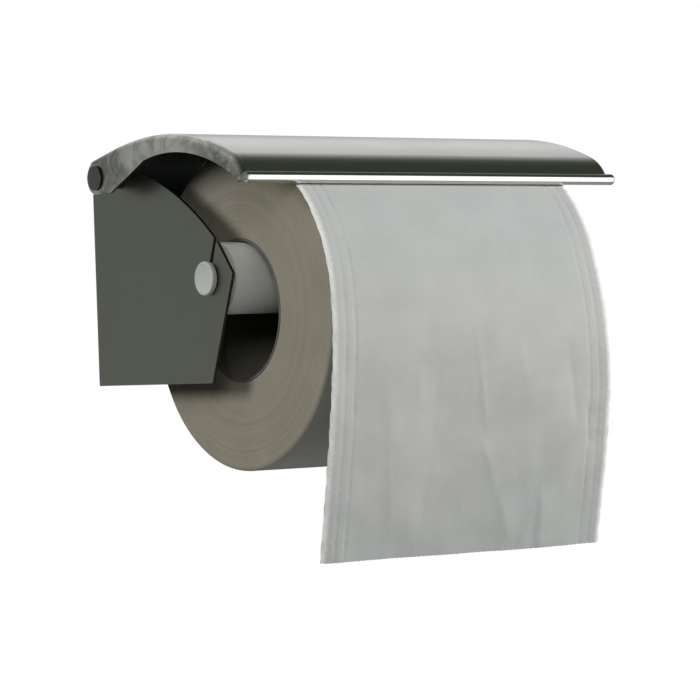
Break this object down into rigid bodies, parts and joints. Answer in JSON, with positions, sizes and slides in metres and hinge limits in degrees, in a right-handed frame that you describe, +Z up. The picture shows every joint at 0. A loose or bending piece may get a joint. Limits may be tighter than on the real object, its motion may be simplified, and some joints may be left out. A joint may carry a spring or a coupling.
{
  "type": "toilet paper dispenser",
  "caption": "Wall-mounted toilet roll holder: bent steel bracket with slotted cheeks, plastic roller, hinged curved lid with rolled edge, paper roll and hanging sheet.",
  "frame": {"origin": "on the back plate's rear face at the wall, midway between its screw rows", "axes": "+X along the spindle to the right as seen from the room, +Y into the wall, +Z up"},
  "size_m": [0.139, 0.115, 0.1275],
  "materials": {
    "bracket_steel": "satin stainless sheet",
    "lid_steel": "bright stainless sheet",
    "pin_steel": "turned stainless pin",
    "bush_plastic": "dark nylon",
    "tube_plastic": "satin moulded grey",
    "plug_plastic": "satin moulded light grey",
    "core_card": "spiral-wound grey card",
    "roll_paper": "wound tissue",
    "sheet_paper": "tissue with embossed edges"
  },
  "bodies": {
    "bracket": {"wall_bracket": "bracket_steel", "end_plug_left": "plug_plastic", "end_plug_right": "plug_plastic", "loose_sheet": "sheet_paper"},
    "lid": {"lid": "lid_steel", "hinge_pin_left": "pin_steel", "hinge_pin_right": "pin_steel", "hinge_bush_left": "bush_plastic", "hinge_bush_right": "bush_plastic"},
    "roll": {"paper_roll": "roll_paper", "paper_core": "core_card"},
    "roller": {"roller_tube": "tube_plastic"}
  },
  "joints": [
    {"name": "lid_hinge", "type": "hinge", "parent": "bracket", "child": "lid", "pos_m": [0, -0.0171, 0.034], "axis": [-1, 0, 0], "range_deg": [0, 95]},
    {"name": "roll_spin", "type": "hinge", "parent": "bracket", "child": "roll", "pos_m": [0, -0.0664, -0.0086], "axis": [1, 0, 0], "continuous": true},
    {"name": "roller_spin", "type": "hinge", "parent": "bracket", "child": "roller", "pos_m": [0, -0.0664, 0.001], "axis": [1, 0, 0], "continuous": true}
  ],
  "couplings": [
    {"joint": "roller_spin", "follows": "roll_spin", "ratio": 1.9252}
  ]
}
